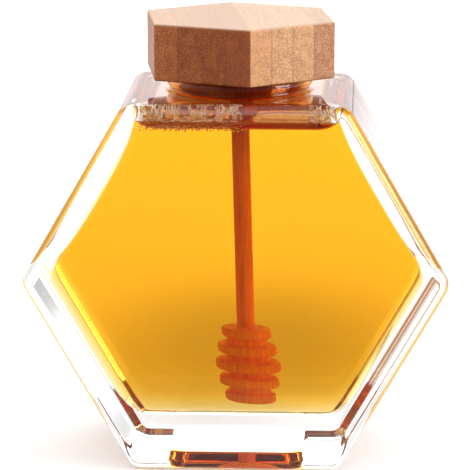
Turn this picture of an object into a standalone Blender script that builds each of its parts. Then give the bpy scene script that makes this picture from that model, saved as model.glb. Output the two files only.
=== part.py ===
"""Hexagonal glass honey pot: thick glass jar, honey, hanging wooden dipper, round stopper and bamboo lid.

Metres, +Z up. The origin is under the middle of the jar, on the surface it stands on. The flat faces of
the jar look along -Y and +Y, and its two side corners point along -X and +X.
"""
import math

import bmesh
import bpy

# Jar body, outside
BODY_HALF_WIDTH = 0.0616
BODY_HALF_DEPTH = 0.032
BODY_TOP = 0.1066
BODY_CORNER_Z = 0.0552
SIDE_SLOPE = math.radians(60)
BODY_CORNER_RADIUS = 0.0045
BODY_RIM_RADIUS = 0.0032

# Jar cavity
SIDE_WALL = 0.0068
FACE_WALL = 0.005
UPPER_WALL_THINNING = 0.0031
LEFT_BULGE = 0.0043
RIGHT_BULGE = 0.0027
FLOOR_Z = 0.0137
CEILING_Z = 0.1046
CAVITY_CORNER_RADIUS = 0.009
FLOOR_RIM_RADIUS = 0.0135
SIDE_RIM_RADIUS = 0.0035
CEILING_RIM_RADIUS = 0.002

# Recess under the base: its front and back slope in, its ends are steep
RECESS_HALF_WIDTH = 0.0205
RECESS_HALF_DEPTH = 0.0285
RECESS_CORNER_RADIUS = 0.0062
RECESS_HEIGHT = 0.0038
RECESS_DRAW_X = 0.0010
RECESS_DRAW_Y = 0.0068

# Neck
NECK_TOP = 0.1112
NECK_BORE_RADIUS = 0.018
NECK_WAIST_RADIUS = 0.0204
NECK_BEAD_RADIUS = 0.0213
NECK_BEAD_BOTTOM = 0.1080
SHOULDER_FLARE = 0.0035

# Honey
HONEY_LEVEL = 0.0989
GAP = 0.0003

# Lid and stopper
LID_RADIUS = 0.02994
LID_BOTTOM = 0.11155
LID_TOP = 0.12794
LID_TURN = math.radians(8.08)
LID_EDGE = 0.0006
STOPPER_RADIUS = 0.0176
STOPPER_BOTTOM = 0.1045
STOPPER_EDGE = 0.001

# Dipper
DIPPER_X_AT_TOP = 0.00037
DIPPER_LEAN = 0.0266
HEAD_EXTRA_LEAN = 0.040
HEAD_LEAN_STARTS_Z = 0.043
HANDLE_RADIUS = 0.00262
BOSS_RADIUS = 0.0040
BOSS_BOTTOM = 0.1012
DIPPER_TOP = 0.1085
HEAD_TOP = 0.0376
HEAD_BOTTOM = 0.0152
DISC_RADII = (0.0073, 0.0087, 0.00965, 0.0088, 0.0075)
DISC_THICKNESS = 0.00285
GROOVE_RADIUS = 0.0060
DISC_ROUND = 0.0006

# Fineness
CORNER_STEPS = 4
RIM_STEPS = 4
SIDE_STEPS = 6
NECK_STEPS = 48
DIPPER_STEPS = 24
STOPPER_STEPS = 40


def clear_scene():
    for obj in list(bpy.data.objects):
        bpy.data.objects.remove(obj)


def make_material(name, colour, roughness, transmission=0.0, ior=1.5):
    material = bpy.data.materials.new(name)
    material.use_nodes = True
    shader = material.node_tree.nodes["Principled BSDF"]
    shader.inputs["Base Color"].default_value = (*colour, 1.0)
    shader.inputs["Roughness"].default_value = roughness
    shader.inputs["Metallic"].default_value = 0.0
    shader.inputs["Transmission Weight"].default_value = transmission
    shader.inputs["IOR"].default_value = ior
    return material


def make_object(name, rings, material):
    """One closed mesh: quads between each ring of points and the next, and a flat cap on the first and last."""
    mesh = bpy.data.meshes.new(name)
    bm = bmesh.new()
    loops = [[bm.verts.new(point) for point in ring] for ring in rings]
    for first, second in zip(loops, loops[1:]):
        for i in range(len(first)):
            j = (i + 1) % len(first)
            bm.faces.new((first[i], first[j], second[j], second[i]))
    bm.faces.new(loops[0])
    bm.faces.new(loops[-1])
    bmesh.ops.recalc_face_normals(bm, faces=bm.faces)
    bm.to_mesh(mesh)
    bm.free()
    mesh.shade_smooth()
    mesh.set_sharp_from_angle(angle=math.radians(35))
    mesh.materials.append(material)
    obj = bpy.data.objects.new(name, mesh)
    bpy.context.scene.collection.objects.link(obj)
    return obj


def as_cutter(obj):
    obj.hide_render = True
    obj.display_type = "WIRE"
    return obj


def add_boolean(obj, other, operation):
    modifier = obj.modifiers.new(f"{operation.lower()} {other.name}", "BOOLEAN")
    modifier.operation = operation
    modifier.solver = "EXACT"
    modifier.object = as_cutter(other)


def rounded_outline(corners, radius, steps):
    """A convex flat outline, each corner replaced by an arc that touches both of its sides."""
    points = []
    count = len(corners)
    for i in range(count):
        before, here, after = corners[i - 1], corners[i], corners[(i + 1) % count]
        to_before = unit(before[0] - here[0], before[1] - here[1])
        to_after = unit(after[0] - here[0], after[1] - here[1])
        half = math.acos(to_before[0] * to_after[0] + to_before[1] * to_after[1]) / 2
        middle = unit(to_before[0] + to_after[0], to_before[1] + to_after[1])
        reach = radius / math.sin(half)
        centre = (here[0] + middle[0] * reach, here[1] + middle[1] * reach)
        start = math.atan2(-middle[1], -middle[0])
        turn = math.pi / 2 - half
        side = math.copysign(1.0, to_before[0] * to_after[1] - to_before[1] * to_after[0])
        for k in range(steps + 1):
            angle = start + side * turn * (1 - 2 * k / steps)
            points.append((centre[0] + radius * math.cos(angle), centre[1] + radius * math.sin(angle)))
    return points


def unit(x, z):
    length = math.hypot(x, z)
    return x / length, z / length


def hexagon(bottom, top, side, inset_bottom, inset_lower, inset_upper, inset_top):
    """Corners of the jar's hexagon, each of its sides moved inwards by its own inset."""
    low, high = bottom + inset_bottom, top - inset_top
    lower = side - inset_lower / math.sin(SIDE_SLOPE)
    upper = side - inset_upper / math.sin(SIDE_SLOPE)
    steepness = math.tan(SIDE_SLOPE)
    corner_z = BODY_CORNER_Z + (upper - lower) / 2 * steepness
    corner_x = lower + (upper - lower) / 2
    low_x = lower - (BODY_CORNER_Z - low) / steepness
    high_x = upper - (high - BODY_CORNER_Z) / steepness
    return [
        (low_x, low), (corner_x, corner_z), (high_x, high),
        (-high_x, high), (-corner_x, corner_z), (-low_x, low),
    ]


def rim_inset(y, half_depth, radius):
    """How far a rim rounded to this radius has drawn in from the straight wall at depth y."""
    past = max(abs(y) - (half_depth - radius), 0.0)
    return radius - math.sqrt(max(radius ** 2 - past ** 2, 0.0))


def stations(half_depth, radius, steps):
    """Depths from front to back, close together where the rims curve."""
    curved = [half_depth - radius + radius * math.sin(math.pi / 2 * k / steps) for k in range(steps + 1)]
    return [-y for y in reversed(curved)] + curved


def body_rings():
    rings = []
    for y in stations(BODY_HALF_DEPTH, BODY_RIM_RADIUS, RIM_STEPS - 1):
        inset = rim_inset(y, BODY_HALF_DEPTH, BODY_RIM_RADIUS)
        corners = hexagon(0.0, BODY_TOP, BODY_HALF_WIDTH, inset, inset, inset, inset)
        outline = rounded_outline(corners, BODY_CORNER_RADIUS - inset, CORNER_STEPS)
        rings.append([(x, y, z) for x, z in outline])
    return rings


def upper_bulge(x, z):
    """How far the inside of an upper side curves in at a height: nothing at its ends, most halfway up."""
    share = min(max((z - BODY_CORNER_Z) / (CEILING_Z - BODY_CORNER_Z), 0.0), 1.0)
    return (LEFT_BULGE if x < 0 else RIGHT_BULGE) * (1 - abs(2 * share - 1) ** 3)


def with_sides_divided(outline, per_corner, steps):
    """Adds points along the straight sides of a rounded outline, which has per_corner points at each corner."""
    points = []
    for i, (x, z) in enumerate(outline):
        points.append((x, z))
        if i % per_corner == per_corner - 1:
            end_x, end_z = outline[(i + 1) % len(outline)]
            points += [(x + (end_x - x) * k / steps, z + (end_z - z) * k / steps) for k in range(1, steps)]
    return points


def cavity_rings(shrink):
    """The cavity's surface, moved inwards by shrink: the space itself at 0, the honey at a small gap."""
    half_depth = BODY_HALF_DEPTH - FACE_WALL - shrink
    rings = []
    for y in stations(half_depth, FLOOR_RIM_RADIUS, RIM_STEPS):
        insets = [rim_inset(y, half_depth, r) for r in (FLOOR_RIM_RADIUS, SIDE_RIM_RADIUS, CEILING_RIM_RADIUS)]
        floor, side, ceiling = insets
        corners = hexagon(
            FLOOR_Z + shrink, CEILING_Z - shrink, BODY_HALF_WIDTH,
            floor, SIDE_WALL + shrink + side, SIDE_WALL - UPPER_WALL_THINNING + shrink + side, ceiling,
        )
        radius = CAVITY_CORNER_RADIUS - side - shrink
        outline = with_sides_divided(
            rounded_outline(corners, radius, CORNER_STEPS), CORNER_STEPS + 1, SIDE_STEPS)
        rings.append([(x - math.copysign(upper_bulge(x, z), x), y, z) for x, z in outline])
    return rings


def recess_rings():
    """Rounded rectangles that draw in evenly from below the base up to the recess's flat top."""
    rings = []
    for rise in (-1, 0, 1):
        x = RECESS_HALF_WIDTH - RECESS_DRAW_X * rise
        y = RECESS_HALF_DEPTH - RECESS_DRAW_Y * rise
        corners = [(x, -y), (x, y), (-x, y), (-x, -y)]
        outline = rounded_outline(corners, RECESS_CORNER_RADIUS, CORNER_STEPS)
        rings.append([(px, py, RECESS_HEIGHT * rise) for px, py in outline])
    return rings


def turned_rings(profile, steps):
    """Rings of a piece turned about the Z axis, from (radius, height) pairs."""
    angles = [2 * math.pi * k / steps for k in range(steps)]
    return [[(r * math.cos(a), r * math.sin(a), z) for a in angles] for r, z in profile]


def neck_profile():
    """Outside of the neck from inside the shoulder up to the rim: a flare, a waist and a rounded bead."""
    flare = [
        (
            NECK_WAIST_RADIUS + SHOULDER_FLARE * (1 - math.sin(math.pi / 2 * k / 3)),
            BODY_TOP - 0.0003 + (NECK_BEAD_BOTTOM - BODY_TOP) * (1 - math.cos(math.pi / 2 * k / 3)),
        )
        for k in range(4)
    ]
    middle = (NECK_TOP + NECK_BEAD_BOTTOM) / 2
    half_height = (NECK_TOP - NECK_BEAD_BOTTOM) / 2
    bulge = NECK_BEAD_RADIUS - NECK_WAIST_RADIUS
    bead = [
        (NECK_WAIST_RADIUS + bulge * math.cos(angle), middle + half_height * math.sin(angle))
        for angle in (math.radians(d) for d in (-70, -45, -20, 0, 20, 45, 70, 90))
    ]
    root = [(NECK_WAIST_RADIUS + SHOULDER_FLARE, BODY_TOP - 0.0015)]
    return root + flare + bead


def bore_profile():
    """The mouth's bore, which opens out into the cavity below."""
    flare = CEILING_Z + 0.0012
    quarter = [
        (NECK_BORE_RADIUS + 0.004 * (1 - math.cos(math.pi / 2 * k / 3)),
         flare - 0.0016 * math.sin(math.pi / 2 * k / 3))
        for k in range(4)
    ]
    return [(NECK_BORE_RADIUS, NECK_TOP + 0.002)] + quarter + [(NECK_BORE_RADIUS + 0.004, CEILING_Z - 0.002)]


def dipper_centre(z):
    """X of the dipper's centre line: it leans to one side going down, a little more from just above its head."""
    x = DIPPER_X_AT_TOP + (DIPPER_TOP - z) * DIPPER_LEAN
    below = max(HEAD_LEAN_STARTS_Z - z, 0.0)
    bend = min(below, HEAD_LEAN_STARTS_Z - HEAD_TOP)
    return x + HEAD_EXTRA_LEAN * (below - bend / 2)


def dipper_slope(z):
    step = 0.0005
    return (dipper_centre(z + step) - dipper_centre(z - step)) / (2 * step)


def dipper_profile(grow):
    """(radius, height) pairs up the dipper, moved outwards by grow: five discs with grooves, handle and boss."""
    profile = []
    count = len(DISC_RADII)
    pitch = (HEAD_TOP - HEAD_BOTTOM - DISC_THICKNESS) / (count - 1)
    for k, radius in enumerate(reversed(DISC_RADII)):
        low = HEAD_BOTTOM + k * pitch
        high = low + DISC_THICKNESS
        inner = GROOVE_RADIUS + grow
        if k:
            profile.append((inner, low - grow))
        profile.append((radius - DISC_ROUND + grow, low - grow))
        profile.append((radius + grow, low + DISC_ROUND - grow / 2))
        profile.append((radius + grow, high - DISC_ROUND + grow / 2))
        profile.append((radius - DISC_ROUND + grow, high + grow))
        if k < count - 1:
            profile.append((inner, high + grow))
    handle = HANDLE_RADIUS + grow
    profile.append((handle, HEAD_TOP + grow))
    spans = 5
    for k in range(1, spans):
        profile.append((handle, HEAD_TOP + (BOSS_BOTTOM - HEAD_TOP) * k / spans))
    profile.append((handle, BOSS_BOTTOM - 0.0008 - grow))
    profile.append((BOSS_RADIUS + grow, BOSS_BOTTOM - grow))
    profile.append((BOSS_RADIUS + grow, DIPPER_TOP + grow))
    return profile


def dipper_rings(profile, steps):
    """Rings of the profile, each square to the leaning centre line."""
    rings = []
    for radius, z in profile:
        slope = dipper_slope(z)
        along = 1 / math.hypot(1, slope)
        centre = dipper_centre(z)
        ring = []
        for k in range(steps):
            angle = 2 * math.pi * k / steps
            across = radius * math.cos(angle)
            ring.append((centre + across * along, radius * math.sin(angle), z + across * slope * along))
        rings.append(ring)
    return rings


def build_jar(material):
    jar = make_object("glass_jar", body_rings(), material)
    neck = make_object("neck_blank", turned_rings(neck_profile(), NECK_STEPS), material)
    cavity = make_object("cavity", cavity_rings(0.0), material)
    bore = make_object("bore", turned_rings(bore_profile(), NECK_STEPS), material)
    recess = make_object("base_recess", recess_rings(), material)
    add_boolean(jar, neck, "UNION")
    add_boolean(jar, cavity, "DIFFERENCE")
    add_boolean(jar, bore, "DIFFERENCE")
    add_boolean(jar, recess, "DIFFERENCE")
    return jar


def build_honey(material):
    honey = make_object("honey", cavity_rings(GAP), material)
    far = BODY_HALF_WIDTH
    square = [(-far, -far), (far, -far), (far, far), (-far, far)]
    above = make_object(
        "above_level", [[(x, y, z) for x, y in square] for z in (HONEY_LEVEL, BODY_TOP)], material
    )
    well = make_object("dipper_well", dipper_rings(dipper_profile(GAP), DIPPER_STEPS), material)
    add_boolean(honey, above, "DIFFERENCE")
    add_boolean(honey, well, "DIFFERENCE")
    return honey


def build_dipper(material):
    return make_object("dipper", dipper_rings(dipper_profile(0.0), DIPPER_STEPS), material)


def build_stopper(material):
    top = NECK_TOP
    profile = [
        (STOPPER_RADIUS - STOPPER_EDGE, STOPPER_BOTTOM),
        (STOPPER_RADIUS, STOPPER_BOTTOM + STOPPER_EDGE),
        (STOPPER_RADIUS, top),
    ]
    stopper = make_object("stopper", turned_rings(profile, STOPPER_STEPS), material)
    socket_profile = [
        (BOSS_RADIUS + GAP, STOPPER_BOTTOM - 0.003),
        (BOSS_RADIUS + GAP, DIPPER_TOP + GAP),
    ]
    socket = make_object("dipper_socket", dipper_rings(socket_profile, DIPPER_STEPS), material)
    add_boolean(stopper, socket, "DIFFERENCE")
    return stopper


def build_lid(material):
    """A hexagonal block, one corner turned a little from the front, its top and bottom edges eased."""
    def ring(radius, z):
        corners = [LID_TURN - math.pi / 2 + math.pi / 3 * k for k in range(6)]
        return [(radius * math.cos(a), radius * math.sin(a), z) for a in corners]

    rings = [
        ring(LID_RADIUS - LID_EDGE, LID_BOTTOM),
        ring(LID_RADIUS, LID_BOTTOM + LID_EDGE),
        ring(LID_RADIUS, LID_TOP - LID_EDGE),
        ring(LID_RADIUS - LID_EDGE, LID_TOP),
    ]
    return make_object("lid", rings, material)


def main():
    clear_scene()
    glass = make_material("clear glass", (0.95, 0.96, 0.95), 0.02, transmission=1.0, ior=1.52)
    honey = make_material("honey", (0.98, 0.62, 0.06), 0.05, transmission=0.6, ior=1.49)
    soaked_wood = make_material("honey soaked wood", (0.72, 0.24, 0.03), 0.45)
    stopper_wood = make_material("dark stopper wood", (0.16, 0.06, 0.03), 0.5)
    bamboo = make_material("laminated bamboo", (0.62, 0.36, 0.18), 0.5)
    build_jar(glass)
    build_honey(honey)
    build_dipper(soaked_wood)
    build_stopper(stopper_wood)
    build_lid(bamboo)


main()
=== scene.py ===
"""The looks of a hexagonal glass honey pot: glass, honey, foam, dipper, stopper, bamboo lid and studio.

Metres, +Z up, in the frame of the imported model. The flat faces look along -Y and +Y.
"""

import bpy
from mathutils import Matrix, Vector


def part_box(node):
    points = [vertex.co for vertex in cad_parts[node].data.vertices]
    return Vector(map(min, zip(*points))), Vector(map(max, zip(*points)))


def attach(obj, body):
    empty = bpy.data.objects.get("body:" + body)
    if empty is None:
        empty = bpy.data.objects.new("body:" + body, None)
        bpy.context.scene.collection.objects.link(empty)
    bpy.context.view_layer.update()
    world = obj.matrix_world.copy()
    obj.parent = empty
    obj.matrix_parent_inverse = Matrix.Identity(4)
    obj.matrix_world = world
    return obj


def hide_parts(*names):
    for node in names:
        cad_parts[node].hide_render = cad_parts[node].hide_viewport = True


bl_info = {
    "name": "Glass honey pot",
    "version": (1, 0, 0),
    "blender": (4, 5, 0),
    "location": "View3D > Sidebar > Honey pot",
    "description": "Makes a hexagonal glass honey pot with its honey, dipper and bamboo lid",
    "category": "Add Mesh",
}

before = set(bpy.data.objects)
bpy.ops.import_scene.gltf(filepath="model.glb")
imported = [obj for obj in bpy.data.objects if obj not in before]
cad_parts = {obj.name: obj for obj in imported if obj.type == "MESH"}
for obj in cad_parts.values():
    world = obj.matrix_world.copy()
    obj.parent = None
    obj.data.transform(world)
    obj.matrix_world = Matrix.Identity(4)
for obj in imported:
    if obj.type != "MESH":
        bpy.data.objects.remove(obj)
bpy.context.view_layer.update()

import math

import bmesh
import bpy
import numpy as np
from bpy.props import FloatProperty, FloatVectorProperty, IntProperty, PointerProperty
from mathutils import Vector

JAR_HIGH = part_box("glass_jar")[1]
LID_LOW, LID_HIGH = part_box("lid")

SIDE_SLOPE = math.radians(60)
SHARP = math.radians(50)
INTO_WALL = 0.0001
INTO_WOOD = 0.00005
FILM = 0.0001
SUPPORT = 0.0003
GLASS_IOR = 1.52
HONEY_IOR = 1.49
CLEAR, WET, SMEARED = 0, 1, 2


class GlassSizes(bpy.types.PropertyGroup):
    half_width: FloatProperty(
        name="Half width", description="Middle to a side corner before it is rounded",
        default=0.0616, unit="LENGTH")
    half_depth: FloatProperty(
        name="Half depth", description="Middle to a flat face", default=JAR_HIGH.y, unit="LENGTH")
    body_top: FloatProperty(
        name="Body top", description="Height of the shoulder", default=0.1066, unit="LENGTH")
    corner_height: FloatProperty(
        name="Corner height", description="Height of the two side corners", default=0.0552, unit="LENGTH")
    corner_radius: FloatProperty(
        name="Corner radius", description="Rounding of the six outer corners",
        default=0.0045, unit="LENGTH")
    rim_radius: FloatProperty(
        name="Rim radius", description="Rounding round each flat face", default=0.0032, unit="LENGTH")
    side_wall: FloatProperty(
        name="Side wall", description="Thickness of the four slanted sides",
        default=0.0068, unit="LENGTH")
    upper_thinning: FloatProperty(
        name="Upper thinning", description="How much thinner the two upper sides are",
        default=0.0031, unit="LENGTH")
    left_bulge: FloatProperty(
        name="Left bulge", description="How far the inside of the upper left side curves in, along X",
        default=0.0043, unit="LENGTH")
    right_bulge: FloatProperty(
        name="Right bulge", description="How far the inside of the upper right side curves in, along X",
        default=0.0027, unit="LENGTH")
    face_wall: FloatProperty(
        name="Face wall", description="Thickness of the flat faces", default=0.005, unit="LENGTH")
    floor: FloatProperty(
        name="Floor", description="Height of the inside floor", default=0.0137, unit="LENGTH")
    ceiling: FloatProperty(
        name="Ceiling", description="Height of the inside of the shoulder", default=0.1046, unit="LENGTH")
    inner_corner_radius: FloatProperty(
        name="Inner corner radius", description="Rounding of the cavity's six corners",
        default=0.009, unit="LENGTH")
    floor_rim_radius: FloatProperty(
        name="Floor rim radius", description="Rounding where the flat faces meet the floor",
        default=0.0135, unit="LENGTH")
    side_rim_radius: FloatProperty(
        name="Side rim radius", description="Rounding where the flat faces meet the slanted sides",
        default=0.0035, unit="LENGTH")
    ceiling_rim_radius: FloatProperty(
        name="Ceiling rim radius", description="Rounding where the flat faces meet the shoulder",
        default=0.0020, unit="LENGTH")
    bore_radius: FloatProperty(
        name="Bore radius", description="Inside of the neck", default=0.018, unit="LENGTH")
    waist_radius: FloatProperty(
        name="Waist radius", description="Outside of the neck above the shoulder",
        default=0.0204, unit="LENGTH")
    bead_radius: FloatProperty(
        name="Bead radius", description="Outside of the rounded bead round the mouth",
        default=0.0213, unit="LENGTH")
    bead_bottom: FloatProperty(
        name="Bead bottom", description="Height of the lower edge of the bead",
        default=0.1080, unit="LENGTH")
    flare: FloatProperty(
        name="Shoulder flare", description="How far the neck spreads into the shoulder",
        default=0.0035, unit="LENGTH")
    recess_half_width: FloatProperty(
        name="Recess half width", description="Recess under the base, along X",
        default=0.0205, unit="LENGTH")
    recess_half_depth: FloatProperty(
        name="Recess half depth", description="Recess under the base, along Y",
        default=0.0285, unit="LENGTH")
    recess_height: FloatProperty(
        name="Recess height", description="How high the recess rises", default=0.0038, unit="LENGTH")
    recess_draw_x: FloatProperty(
        name="Recess side draw", description="How far the recess's ends slope in",
        default=0.0010, unit="LENGTH")
    recess_draw_y: FloatProperty(
        name="Recess front draw", description="How far the recess's front and back slope in",
        default=0.0068, unit="LENGTH")
    recess_corner: FloatProperty(
        name="Recess corner", description="Rounding of the recess's four corners",
        default=0.0062, unit="LENGTH")


class HoneyLooks(bpy.types.PropertyGroup):
    level: FloatProperty(
        name="Level", description="Height of the honey's surface", default=0.0989, unit="LENGTH")
    climb: FloatProperty(
        name="Climb", description="How far the honey climbs the glass", default=0.0028, unit="LENGTH")
    climb_reach: FloatProperty(
        name="Climb reach", description="Distance from the glass in which the climb fades to about a third",
        default=0.0020, unit="LENGTH")
    climb_dipper: FloatProperty(
        name="Climb on the dipper", description="How far the honey climbs the handle",
        default=0.0014, unit="LENGTH")
    colour: FloatVectorProperty(
        name="Colour", description="What thin honey lets through", subtype="COLOR",
        default=(0.954, 0.795, 0.0), min=0.0, max=1.0)
    strength: FloatProperty(
        name="Strength", description="How fast the honey takes up light, per metre", default=80.0)
    stain: FloatVectorProperty(
        name="Stain", description="What the layer of honey against the glass lets through",
        subtype="COLOR", default=(0.97, 0.86, 0.70), min=0.0, max=1.0)
    smear: FloatVectorProperty(
        name="Smear", description="What the smeared glass over the honey lets through",
        subtype="COLOR", default=(0.85, 0.27, 0.015), min=0.0, max=1.0)
    film: FloatVectorProperty(
        name="Film", description="What the darker film on the honey's surface lets through",
        subtype="COLOR", default=(0.62, 0.29, 0.10), min=0.0, max=1.0)
    foam: FloatVectorProperty(
        name="Foam", description="What the walls of the foam's bubbles let through",
        subtype="COLOR", default=(0.99, 0.88, 0.66), min=0.0, max=1.0)
    bubbles: IntProperty(
        name="Bubbles", description="Bubbles in the foam round the edge of the honey", default=420)


class DipperLooks(bpy.types.PropertyGroup):
    handle_radius: FloatProperty(
        name="Handle radius", description="Radius of the round handle", default=0.00262, unit="LENGTH")
    boss_radius: FloatProperty(
        name="Boss radius", description="Radius of the thicker top end", default=0.0040, unit="LENGTH")
    groove_radius: FloatProperty(
        name="Groove radius", description="Radius at the bottom of the grooves",
        default=0.0060, unit="LENGTH")
    wood: FloatVectorProperty(
        name="Wood", description="Colour of the soaked wood", subtype="COLOR",
        default=(0.97, 0.28, 0.005), min=0.0, max=1.0)
    # Painted light: the dipper glows evenly in its own colour, standing in for light reaching it from all
    # round.
    glow: FloatProperty(
        name="Glow", description="Light that the soaked wood passes on from all round it", default=0.10)


class LidLooks(bpy.types.PropertyGroup):
    strip: FloatProperty(
        name="Strip", description="Width of one bamboo strip", default=0.0065, unit="LENGTH")
    edge: FloatProperty(
        name="Eased edge", description="Rounding of the lid's edges", default=0.0006, unit="LENGTH")
    turn: FloatProperty(
        name="Turn", description="How far the front corner is turned from -Y",
        default=math.radians(8.08), subtype="ANGLE")
    pale: FloatVectorProperty(
        name="Pale bamboo", description="Colour between the fibres", subtype="COLOR",
        default=(0.73, 0.38, 0.165), min=0.0, max=1.0)
    top: FloatVectorProperty(
        name="Top", description="Colour of the long grain on top", subtype="COLOR",
        default=(0.66, 0.46, 0.30), min=0.0, max=1.0)
    dark: FloatVectorProperty(
        name="Dark bamboo", description="Colour of the fibres", subtype="COLOR",
        default=(0.36, 0.125, 0.04), min=0.0, max=1.0)


class StudioLooks(bpy.types.PropertyGroup):
    key: FloatProperty(name="Key light", description="Softbox at the right, in watts", default=6.8)
    back: FloatProperty(
        name="Back light", description="Softbox over the floor behind, in watts",
        default=11.0)
    fill: FloatProperty(name="Fill light", description="Softbox high in front, in watts", default=5.0)
    floor_glow: FloatProperty(
        name="Floor glow", description="Light that comes up through the floor",
        default=0.25)
    room_behind: FloatProperty(
        name="Room behind", description="Brightness of the wall behind the pot", default=1.35)
    room_above: FloatProperty(
        name="Room above", description="Brightness of the ceiling over the pot", default=0.25)
    room_before: FloatProperty(
        name="Room before", description="Brightness of the room on the camera's side", default=0.14)
    room_left: FloatProperty(
        name="Room left", description="Brightness of the room to the left", default=0.9)
    room_right: FloatProperty(
        name="Room right", description="Brightness of the room to the right", default=0.45)


def unit(v):
    """Vectors divided by their lengths."""
    return v / np.linalg.norm(v, axis=-1, keepdims=True)


def rounded_outlines(corners, radius, steps):
    """Rounds the corners of stacked convex outlines, (rows, corners, 2), by arcs that touch both sides.

    An arc's centre lies on the corner's bisector at radius / sin(half angle). A point just outside each end
    of each arc keeps the flat sides flat when the mesh is shaded smooth.
    """
    to_before = unit(np.roll(corners, 1, axis=1) - corners)
    to_after = unit(np.roll(corners, -1, axis=1) - corners)
    half = np.arccos(np.sum(to_before * to_after, axis=-1)) / 2
    middle = unit(to_before + to_after)
    radius = np.broadcast_to(np.asarray(radius, float).reshape(-1, 1), half.shape)
    centre = corners + middle * (radius / np.sin(half))[..., None]
    start = np.arctan2(-middle[..., 1], -middle[..., 0])
    cross = to_before[..., 0] * to_after[..., 1] - to_before[..., 1] * to_after[..., 0]
    swing = np.sign(cross) * (math.pi / 2 - half)
    angle = start[..., None] + swing[..., None] * np.linspace(1, -1, steps + 1)
    round_it = np.stack([np.cos(angle), np.sin(angle)], axis=-1)
    arc = centre[..., None, :] + radius[..., None, None] * round_it
    first = arc[..., :1, :] + to_before[..., None, :] * SUPPORT
    last = arc[..., -1:, :] + to_after[..., None, :] * SUPPORT
    return np.concatenate([first, arc, last], axis=2).reshape(len(corners), -1, 2)


def hexagon_corners(glass, bottom, top, inset_bottom, inset_lower, inset_upper, inset_top):
    """Corners of the jar's hexagon for each row, each side moved in by its own inset, as (rows, 6, 2)."""
    steepness = math.tan(SIDE_SLOPE)
    low, high = bottom + inset_bottom, top - inset_top
    lower = glass.half_width - inset_lower / math.sin(SIDE_SLOPE)
    upper = glass.half_width - inset_upper / math.sin(SIDE_SLOPE)
    corner_z = glass.corner_height + (upper - lower) / 2 * steepness
    corner_x = (upper + lower) / 2
    low_x = lower - (glass.corner_height - low) / steepness
    high_x = upper - (high - glass.corner_height) / steepness
    x = np.stack([low_x, corner_x, high_x, -high_x, -corner_x, -low_x], axis=1)
    z = np.stack([low, corner_z, high, high, corner_z, low], axis=1)
    return np.stack([x, z], axis=-1)


def rim_depths(half_depth, radius, steps):
    """Depths from front to back, spaced as an arc round both rims, with one more row before each arc."""
    curved = half_depth - radius + radius * np.sin(np.linspace(0, math.pi / 2, steps + 1))
    curved = np.concatenate([[half_depth - radius - SUPPORT], curved])
    return np.concatenate([-curved[::-1], curved])


def rim_inset(y, half_depth, radius):
    """How far a rim of this radius has drawn in at depth y: radius minus the arc's height."""
    past = np.clip(np.abs(y) - (half_depth - radius), 0, radius)
    return radius - np.sqrt(radius ** 2 - past ** 2)


def at_depths(flat, y):
    """Outlines in X and Z, each set at its own depth along Y."""
    return np.stack([flat[..., 0], np.broadcast_to(y[:, None], flat.shape[:2]), flat[..., 1]], axis=-1)


def at_heights(flat, z):
    """Outlines in X and Y, each set at its own height."""
    return np.concatenate([flat, np.broadcast_to(z[:, None, None], flat.shape[:2] + (1,))], axis=-1)


def body_grid(glass, steps=8):
    """The jar's outside: rounded hexagons from front to back, drawn in along an arc at both rims."""
    y = rim_depths(glass.half_depth, glass.rim_radius, steps)
    inset = rim_inset(y, glass.half_depth, glass.rim_radius)
    top = np.full(len(y), glass.body_top)
    corners = hexagon_corners(glass, np.zeros(len(y)), top, inset, inset, inset, inset)
    return at_depths(rounded_outlines(corners, glass.corner_radius - inset, steps), y)


def upper_bulge(glass, x, z):
    """How far an upper side curves in at a height: bulge * (1 - |2 s - 1|^3), s from side corner to top."""
    s = np.clip((z - glass.corner_height) / (glass.ceiling - glass.corner_height), 0, 1)
    return np.where(x < 0, glass.left_bulge, glass.right_bulge) * (1 - np.abs(2 * s - 1) ** 3)


def filled_sides(flat, corners=6, count=16):
    """Adds evenly spaced points along the straight sides between the rounded corners of outlines."""
    rows = len(flat)
    arcs = flat.reshape(rows, corners, -1, 2)
    start, end = arcs[:, :, -1:], np.roll(arcs, -1, axis=1)[:, :, :1]
    share = np.linspace(0, 1, count + 2)[1:-1, None]
    return np.concatenate([arcs, start + (end - start) * share], axis=2).reshape(rows, -1, 2)


def cavity_grid(glass, shrink, steps=14):
    """The space inside, moved inwards by shrink: rounded hexagons whose rims curve in most at the floor.

    Its upper sides then curve in by upper_bulge.
    """
    half_depth = glass.half_depth - glass.face_wall - shrink
    y = rim_depths(half_depth, glass.floor_rim_radius, steps)
    floor, side, ceiling = (
        rim_inset(y, half_depth, r)
        for r in (glass.floor_rim_radius, glass.side_rim_radius, glass.ceiling_rim_radius))
    lower = glass.side_wall + shrink + side
    upper = glass.side_wall - glass.upper_thinning + shrink + side
    corners = hexagon_corners(
        glass, np.full(len(y), glass.floor + shrink), np.full(len(y), glass.ceiling - shrink),
        floor, lower, upper, ceiling)
    flat = filled_sides(rounded_outlines(corners, glass.inner_corner_radius - side - shrink, steps))
    flat[..., 0] -= np.sign(flat[..., 0]) * upper_bulge(glass, flat[..., 0], flat[..., 1])
    return at_depths(flat, y)


RECESS_EASE = 0.0004


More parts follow.
